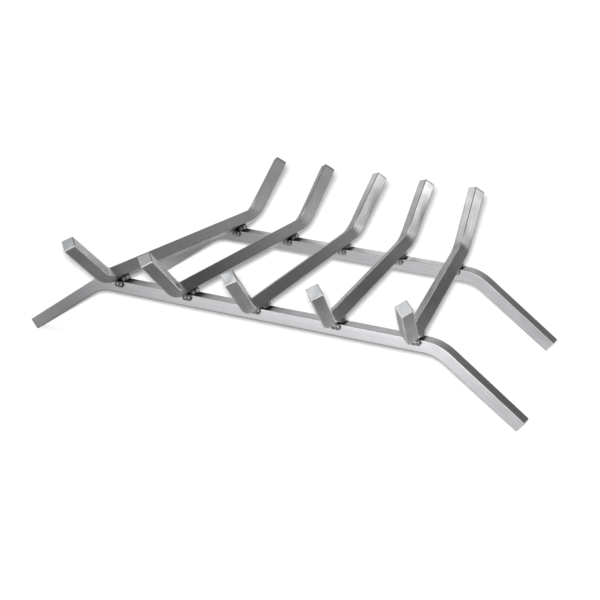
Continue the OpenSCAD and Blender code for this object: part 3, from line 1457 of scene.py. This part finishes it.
@dataclass
class WeldBead(WeldPiece):
    """Weld bead on one side of a crossing, with a lump near each edge of the rail."""

    side: Side = Side.LEFT
    radius: float = 5.1 * MM
    offset: float = 7 * MM
    lump: float = 5.4 * MM
    setback: float = 6 * MM
    shift_back: float = 0.7 * MM
    spread: float = 4 * MM
    ripple_pitch: float = 2.2 * MM
    ripple: float = 0.9 * MM
    ripple_lost_in_lump: float = 0.7
    ripple_heat: Span = (0.75, 0.35)
    ripple_polish: Span = (0.15, 0.9)
    lump_start: float = 1 / 6
    lump_full: float = 7 / 12
    dome_heat: float = 0.7
    dome_polish: float = 0.1
    dome_steps: int = 9
    ring_step: float = 0.4 * MM

    def node(self) -> str:
        """Name of the CAD node that the bead stands for."""
        return f"weld_{self.row.value}_{self.number}_{self.side.value}"

    def gap_angle(self) -> float:
        """Angle between the rail's top and the cross bar's face on the bead's side."""
        return math.pi / 4 - self.side.sign * self.sizes.turn(self.number)

    def frame(self) -> Matrix:
        """Matrix from the bead's frame, with its line along +Y, to the grate's."""
        along, half = self.side.sign * self.offset, self.gap_angle() / 2
        spot = Vector((along * math.cos(half), self.shift_back, self.offset * math.sin(half)))
        return self.contact() @ Matrix.Translation(spot)

    def line(self) -> HotLine:
        """The bead's centreline in the grate's frame."""
        end, place = self.half_width() - self.setback, self.frame()
        return HotLine(place @ Vector((0, -end, 0)), place @ Vector((0, end, 0)), self.radius,
                       self.spread, self.sizes.rail_top - HotLine.fade)

    def gap_to_bars(self, place: Vector) -> float:
        """Distance from a place, in the contact's frame, to the rail's top or the cross bar."""
        gap, across = self.gap_angle(), place.x * self.side.sign
        return min(abs(place.z), abs(place.z * math.cos(gap) - across * math.sin(gap)))

    def profile(self) -> list[WeldRing]:
        """Rings of the bead.

        Returns:
            The rings of a dome, the ripples and a dome again, from the front to the rear.
        """
        end = self.half_width() - self.setback
        turns = [math.pi / 2 * step / self.dome_steps for step in range(1, self.dome_steps)]
        front, ripples, rear = [], [], []
        for turn in turns:
            out, radius = self.lump * math.cos(turn), self.lump * math.sin(turn)
            front.append(WeldRing(-end - out, radius, self.dome_heat, self.dome_polish))
            rear.append(WeldRing(end + out, radius, self.dome_heat, self.dome_polish))
        total = round(2 * end / self.ring_step)
        for step in range(total + 1):
            share = step / total
            in_lump = smooth((abs(share - 0.5) - self.lump_start)
                             / (self.lump_full - self.lump_start))
            wave = abs(math.sin(math.tau * end * share / self.ripple_pitch))
            radius = self.radius + (self.lump - self.radius) * in_lump
            radius += self.ripple * (wave - 1) * (1 - self.ripple_lost_in_lump * in_lump)
            heat, polish = (low + (high - low) * wave
                            for low, high in (self.ripple_heat, self.ripple_polish))
            ripples.append(WeldRing(-end + 2 * end * share, radius, heat, polish))
        return front + ripples + rear[::-1]


@dataclass
class Tack(WeldPiece):
    """Tack weld that hangs under a cross bar on a rail's front face.

    Turns are angles from a dome's pole, in radians. The rim stands out by a share of the radius.
    """

    radius: float = 4.5 * MM
    length: float = 4 * MM
    drop: float = 3.25 * MM
    proud: float = 0.5 * MM
    spread: float = 1.0 * MM
    seam: float = 1.2 * MM
    shine: float = 0.4
    dome_steps: int = 12
    rim: float = 0.07
    rim_turn: float = 0.95
    rim_width: float = 0.25
    rim_shine_width: float = 0.35
    burnt: float = 0.9
    burnt_turn: float = 0.3
    burnt_width: float = 0.5
    hollow: float = 0.12
    hollow_width: float = 0.6
    crown_heat: float = 0.1

    def node(self) -> str:
        """Name of the CAD node that the tack stands for."""
        return f"tack_{self.row.value}_{self.number}"

    def frame(self) -> Matrix:
        """Matrix from the tack's frame, with its line along the rail, to the grate's."""
        spot = Vector((self.sizes.tack_shift(self.row, self.number), -self.proud, -self.drop))
        return (self.contact() @ Matrix.Translation((0, -self.half_width(), 0))
                @ Matrix.Rotation(-self.sizes.fan(self.number), 4, "Z")
                @ Matrix.Translation(spot) @ Matrix.Rotation(-math.pi / 2, 4, "Z"))

    def line(self) -> HotLine:
        """The tack's centreline in the grate's frame."""
        place, half = self.frame(), self.length / 2
        return HotLine(place @ Vector((0, -half, 0)), place @ Vector((0, half, 0)), self.radius,
                       self.spread)

    def gap_to_bars(self, place: Vector) -> float:
        """Distance from a place, in the contact's frame, to the rail's front face."""
        return abs(place.y + self.half_width())

    def profile(self) -> list[WeldRing]:
        """Rings of the tack.

        Returns:
            The rings of two domes with a raised rim, and of a hollow crown between them.
        """
        half = self.length / 2
        left, crown, right = [], [], []
        for step in range(1, self.dome_steps):
            turn = math.pi / 2 * step / self.dome_steps
            size = self.radius * (1 + self.rim * bell(turn, self.rim_width, self.rim_turn))
            heat = self.burnt * bell(turn, self.burnt_width, self.burnt_turn)
            polish = self.shine * bell(turn, self.rim_shine_width, self.rim_turn)
            out, radius = size * math.cos(turn), size * math.sin(turn)
            left.append(WeldRing(-half - out, radius, heat, polish))
            right.append(WeldRing(half + out, radius, heat, polish))
        for step in range(self.dome_steps + 1):
            share = step / self.dome_steps * 2 - 1
            radius = self.radius * (1 - self.hollow * bell(share, self.hollow_width))
            crown.append(WeldRing(half * share, radius, self.crown_heat, self.shine))
        return left + crown + right[::-1]


# --------------------------------------------------------------------------------------------
# Studio
# --------------------------------------------------------------------------------------------

@dataclass(frozen=True)
class Lobe:
    """A soft patch of the studio as metal shows it: direction, tightness and level."""

    azimuth: float
    height: float
    tightness: float
    level: float

    def towards(self) -> Vector:
        """Direction of the patch's middle."""
        azimuth, height = math.radians(self.azimuth), math.radians(self.height)
        return Vector((math.cos(height) * math.cos(azimuth),
                       math.cos(height) * math.sin(azimuth), math.sin(height)))


@dataclass(frozen=True)
class Pool:
    """A soft round pool of painted light on the floor as metal shows it, painted shade where its
    level is below 0: middle, radius and level.
    """

    x: float
    y: float
    radius: float
    level: float


@dataclass
class Studio:
    """Floor, light and camera."""

    camera_place: tuple[float, float, float] = (0.86798, -1.73545, 0.85214)
    yaw: float = math.radians(26.75)
    pitch: float = math.radians(22.264)
    lens: float = 95.789
    sensor_width: float = 36.0
    floor_size: float = 30.0
    floor_tone: float = 0.9
    room_light: float = 0.44
    room_level: float = 0.24
    lobes: tuple[Lobe, ...] = (
        Lobe(0, 12, 12, 0.6),
        Lobe(20, 25, 30, 1.6),
        Lobe(60, 20, 4, -0.1),
        Lobe(108, 12, 12, 0.72),
        Lobe(180, 12, 12, 1.52),
        Lobe(280, 42, 12, 2.0),
    )
    floor_level: float = 0.5
    pools: tuple[Pool, ...] = (
        Pool(0.0, 0.0, 0.16, 0.44),
        Pool(0.0, 0.0, 0.35, -0.47),
        Pool(-0.35, -0.1, 0.16, -0.2),
        Pool(0.0, -0.35, 0.2, -0.47),
        Pool(-0.45, -0.45, 0.25, -0.47),
        Pool(0.2, 0.4, 0.25, 2.9),
        Pool(0.0, -0.7, 0.4, 2.0),
        Pool(0.3, -1.2, 0.5, 4.0),
        Pool(-0.22, 0.22, 0.2, 0.8),
        Pool(0.25, -0.05, 0.12, 0.4),
    )
    lamp_left: float = 18 * MM
    lamp_up: float = 38 * MM
    lamp_radius: float = 35 * MM
    lamp_power: float = 30.0
    least_steepness: float = 0.03

    def build(self) -> None:
        """Builds the floor, the light and the camera."""
        self.build_floor()
        self.build_world()
        self.build_camera()
        self.build_lamp()
        bpy.context.scene.view_settings.view_transform = "Standard"

    def build_floor(self) -> None:
        """Builds the pale floor, which shows white and keeps the grate's shadow."""
        half = self.floor_size / 2
        data = bpy.data.meshes.new("floor")
        data.from_pydata([(-half, -half, 0), (half, -half, 0), (half, half, 0), (-half, half, 0)],
                         [], [(0, 1, 2, 3)])
        material = bpy.data.materials.new("Pale floor")
        tree = fresh_tree(material)
        matt = tree.set(tree.add("BsdfDiffuse"), Color=shade(self.floor_tone))
        # For glossy rays the floor glows with its painted light and painted shade.
        shown = tree.set(tree.add("Emission"), Strength=self.floor_in_metal(tree))
        mixed = tree.add("MixShader")
        tree.feed(mixed.inputs, tree.add("LightPath").outputs["Is Glossy Ray"], matt.outputs[0],
                  shown.outputs[0])
        tree.put_out("Material", mixed)
        data.materials.append(material)
        made = add_object("floor", data)

    def floor_in_metal(self, tree: NodeTree) -> bpy.types.NodeSocket:
        """Brightness of the floor as metal shows it: pale, with painted pools of light and painted
        shade under the grate.

        Args:
            tree: The floor material's tree.

        Returns:
            The brightness.
        """
        place = tree.add("NewGeometry").outputs["Position"]
        level: Input = self.floor_level
        for pool in self.pools:
            away = tree.vector("DISTANCE", place, (pool.x, pool.y, 0)).outputs["Value"]
            share = tree.math("POWER", tree.math("DIVIDE", away, pool.radius), 2)
            fall = tree.math("EXPONENT", tree.math("MULTIPLY", share, -1.0))
            level = tree.math("ADD", level, tree.math("MULTIPLY", fall, pool.level))
        return tree.math("MAXIMUM", level, 0.0)

    def build_world(self) -> None:
        """Builds the even room light, and the softer and darker walls that metal shows."""
        world = bpy.data.worlds.new("Studio")
        bpy.context.scene.world = world
        tree = fresh_tree(world)
        way = tree.add("VectorMath", operation="NORMALIZE")
        tree.set(way, Vector=tree.add("TexCoord").outputs["Generated"])
        level: Input = self.room_level
        for lobe in self.lobes:
            dot = tree.vector("DOT_PRODUCT", way.outputs[0], lobe.towards()).outputs["Value"]
            off = tree.math("MULTIPLY", tree.math("SUBTRACT", dot, 1.0), lobe.tightness)
            share = tree.math("EXPONENT", off)
            level = tree.math("ADD", level, tree.math("MULTIPLY", share, lobe.level))
        walls = tree.math("MAXIMUM", level, 0.0)
        seen = tree.add("LightPath").outputs
        unseen = tree.mix(seen["Is Glossy Ray"], self.room_light, walls, Mixed.NUMBERS)
        shown = tree.mix(seen["Is Camera Ray"], unseen, 1.0, Mixed.NUMBERS)
        back = tree.set(tree.add("Background"), Color=(1, 1, 1, 1), Strength=shown)
        tree.put_out("World", back)

    def build_lamp(self) -> None:
        """Builds the lamp beside the camera: even over the floor, with close soft shadows."""
        data = bpy.data.lights.new("key", "POINT")
        data.shadow_soft_size = self.lamp_radius
        data.energy = self.lamp_power
        tree = fresh_tree(data)
        way = tree.set(tree.add("SeparateXYZ"), Vector=tree.add("TexCoord").outputs["Normal"])
        steepness = tree.math("MAXIMUM", tree.math("ABSOLUTE", way.outputs["Z"]),
                              self.least_steepness)
        falloff = tree.set(tree.add("LightFalloff"), Strength=tree.math("DIVIDE", 1.0, steepness))
        shown = tree.set(tree.add("Emission"), Strength=falloff.outputs["Constant"])
        tree.put_out("Light", shown)
        made = add_object("key", data)
        camera = bpy.context.scene.camera
        shift = camera.rotation_euler.to_matrix() @ Vector((-self.lamp_left, self.lamp_up, 0))
        made.location = camera.location + shift
        made.visible_glossy = False

    def build_camera(self) -> None:
        """Builds the camera at the photograph's viewing angle."""
        data = bpy.data.cameras.new("camera")
        data.sensor_width = self.sensor_width
        data.sensor_fit = "HORIZONTAL"
        data.lens = self.lens
        made = add_object("camera", data)
        made.location = self.camera_place
        made.rotation_euler = Euler((math.pi / 2 - self.pitch, 0.0, self.yaw))
        bpy.context.scene.camera = made


# --------------------------------------------------------------------------------------------
# The whole grate
# --------------------------------------------------------------------------------------------

@dataclass
class LogGrate:
    """The whole grate: rails, cross bars, weld beads and tacks."""

    sizes: GrateSizes = field(default_factory=GrateSizes)
    bar_tint_share: float = 0.2
    widest_tint: float = 13 * MM
    first_cool_bar: int = 4
    front_bevel: float = 0.6 * MM
    rear_bevel: float = 1.3 * MM

    def rail_painted_shading(self, row: Row) -> tuple[PaintedShading, ...]:
        """Stretches of painted light and painted shade on a rail's faces.

        Args:
            row: The rail.

        Returns:
            The stretches.
        """
        corner = self.sizes.rail_corner(row)
        leg, foot = corner + self.sizes.leg_length / 2, corner + self.sizes.leg_length
        low_leg, leg_gain = leg + 30 * MM, 0.54 if row is Row.FRONT else 0.58
        # Painted shade on the whole back face and on the legs' tops.
        shared = (PaintedShading(Face.RAIL_BACK, 0.0, 1.5, 0.6),
                  PaintedShading(Face.RAIL_TOP, low_leg, 0.12, leg_gain),
                  PaintedShading(Face.RAIL_TOP, -low_leg, 0.12, leg_gain))
        if row is Row.FRONT:
            return shared + (PaintedShading(Face.RAIL_TOP, 0.0, 0.2, 0.8),
                             PaintedShading(Face.RAIL_FRONT, -leg, 0.07, 0.8),
                             PaintedShading(Face.RAIL_FRONT, -foot, 0.05, 1.45))
        return shared + (PaintedShading(Face.RAIL_TOP, 0.0, 0.15, 1.15),
                         PaintedShading(Face.RAIL_FRONT, -leg, 0.07, 0.62),
                         PaintedShading(Face.RAIL_FRONT, foot, 0.1, 0.66))

    def bars(self) -> list[CrossBar]:
        """Lists the five cross bars, with the wear of their tips.

        Returns:
            The cross bars, from the left.
        """
        right, up, left = 0.0, math.pi / 2, math.pi
        out, flank = -0.2, 0.2
        front = {
            1: (TipWear(left, -1.2 * MM, out), TipWear(up, 0.6 * MM)),
            2: (TipWear(left, -0.5 * MM, out), TipWear(up, 0.5 * MM)),
            3: (TipWear(left, -1.2 * MM, out), TipWear(right, 1.3 * MM), TipWear(up, 0.8 * MM)),
            4: (TipWear(left, -0.8 * MM, out),),
            5: (TipWear(left, -0.3 * MM, out), TipWear(right, 0.6 * MM)),
        }
        rear = {
            1: (TipWear(right, 0.6 * MM, flank),),
            2: (TipWear(right, 0.6 * MM, flank),),
            3: (TipWear(left, -0.3 * MM, out), TipWear(right, 1.2 * MM, flank)),
            4: (TipWear(left, -1.2 * MM, out), TipWear(right, 1.0 * MM, flank)),
            5: (TipWear(left, -2.4 * MM, out), TipWear(right, 1.0 * MM, flank)),
        }
        return [CrossBar(self.sizes, number, Tip(self.front_bevel, front[number]),
                         Tip(self.rear_bevel, rear[number]), self.painted_shading(number))
                for number in BARS]

    @staticmethod
    def painted_shading(number: int) -> tuple[PaintedShading, ...]:
        """Stretches of painted light and painted shade on a cross bar's faces, with painted
        highlights in the front bends of the first bars.

        Args:
            number: The cross bar, from 1 at the left.

        Returns:
            The stretches.
        """
        outer, inner, left = Face.LOWER_RIGHT, Face.UPPER_RIGHT, Face.UPPER_LEFT
        # Painted light and painted shade, stretch by stretch, along each face.
        listed = {
            1: (PaintedShading(inner, -0.138, 0.009, 0.7), PaintedShading(inner, -0.152, 0.006, 2.2),
                PaintedShading(inner, -0.22, 0.05, 1.65), PaintedShading(inner, 0.13, 0.11, 1.5),
                PaintedShading(inner, 0.2, 0.05, 0.76), PaintedShading(outer, -0.23, 0.05, 0.6),
                PaintedShading(outer, 0.04, 0.14, 0.28)),
            2: (PaintedShading(inner, -0.13, 0.12, 0.42), PaintedShading(inner, -0.152, 0.006, 2.4),
                PaintedShading(inner, -0.22, 0.05, 2.6), PaintedShading(inner, 0.14, 0.08, 1.5),
                PaintedShading(inner, 0.2, 0.05, 0.76), PaintedShading(outer, -0.23, 0.07, 0.58),
                PaintedShading(outer, 0.04, 0.14, 0.28)),
            3: (PaintedShading(inner, -0.1, 0.16, 0.57), PaintedShading(inner, 0.14, 0.06, 1.3),
                PaintedShading(inner, 0.2, 0.04, 1.12), PaintedShading(inner, 0.245, 0.016, 1.5),
                PaintedShading(inner, 0.195, 0.03, 0.6, -1), PaintedShading(outer, -0.21, 0.07, 0.78),
                PaintedShading(left, 0.0, 0.13, 1.3), PaintedShading(left, 0.24, 0.04, 1.4)),
            4: (PaintedShading(inner, -0.03, 0.14, 0.62), PaintedShading(inner, 0.24, 0.02, 1.35),
                PaintedShading(inner, 0.19, 0.03, 1.22), PaintedShading(inner, 0.19, 0.02, 0.55, -1),
                PaintedShading(outer, -0.25, 0.06, 0.56), PaintedShading(outer, -0.2, 0.05, 0.8),
                PaintedShading(inner, 0.2, 0.05, 1.12), PaintedShading(left, 0.0, 0.13, 1.2)),
            5: (PaintedShading(inner, 0.0, 0.15, 0.52), PaintedShading(inner, 0.22, 0.08, 1.22),
                PaintedShading(inner, 0.165, 0.01, 0.7, -1), PaintedShading(outer, -0.26, 0.06, 0.6),
                PaintedShading(outer, -0.19, 0.06, 0.7), PaintedShading(left, 0.22, 0.08, 1.18)),
        }
        return listed[number]

    def bead(self, row: Row, number: int, side: Side) -> WeldBead:
        """A bead; those right of the first bars were welded hottest and tint the rail widest."""
        hot = smooth((self.first_cool_bar - number) / 2) if side is Side.RIGHT else 0.0
        return WeldBead(self.sizes, row, number, side=side,
                        spread=WeldBead.spread + (self.widest_tint - WeldBead.spread) * hot)

    def tack(self, row: Row, number: int) -> Tack:
        """A tack; those left of the middle are fuller."""
        squash, shine = (0.85, 0.5) if number < MIDDLE_BAR else (0.5, 0.6)
        return Tack(self.sizes, row, number, squash=squash, shine=shine)

    def welds(self) -> list[WeldPiece]:
        """Lists the beads beside every crossing and the tacks on the rails' front faces.

        Returns:
            The beads and then the tacks.
        """
        crossings = [(row, number) for row in Row for number in BARS]
        return ([self.bead(*crossing, side) for crossing in crossings for side in Side]
                + [self.tack(*crossing) for crossing in crossings])

    def build(self) -> None:
        """Builds and dresses every piece of the grate."""
        shelf = GroupShelf(BrushedGrain().build(), HeatTint().build(), EdgeWear().build(),
                           PaintedEdgeShade().build())
        rail_steel = BrushedSteel("Rail steel", shelf, tone=0.86, tone_low=0.72,
                                  tint=(0.985, 0.99, 1.016), painted_shade=0.38).material()
        bar_steel = BrushedSteel("Bar steel", shelf, tone=0.62, tone_low=0.45,
                                 tint=(1.01, 0.99, 1.0)).material()
        cut_steel = CutSteel("Cut ends", shelf).material()
        weld_metal = WeldMetal("Weld metal", shelf).material()
        welds = self.welds()
        lines = tuple(weld.line() for weld in welds)
        rail_heat, bar_heat = HeatField(lines), HeatField(lines, self.bar_tint_share)
        for row in Row:
            rail = Rail(self.sizes, row, self.rail_painted_shading(row))
            rail.seat(rail.build(rail_heat), Slot.RAIL, rail_steel, cut_steel)
        for bar in self.bars():
            bar.seat(bar.build(bar_heat), Slot.BAR, bar_steel, cut_steel)
        for weld in welds:
            weld.seat(weld.build(), Slot.WELD, weld_metal)


def main() -> None:
    """Builds the grate and the studio around it."""
    logging.basicConfig(level=logging.INFO, format="%(message)s")
    LogGrate().build()
    Studio().build()


if __name__ == "__main__":
    main()
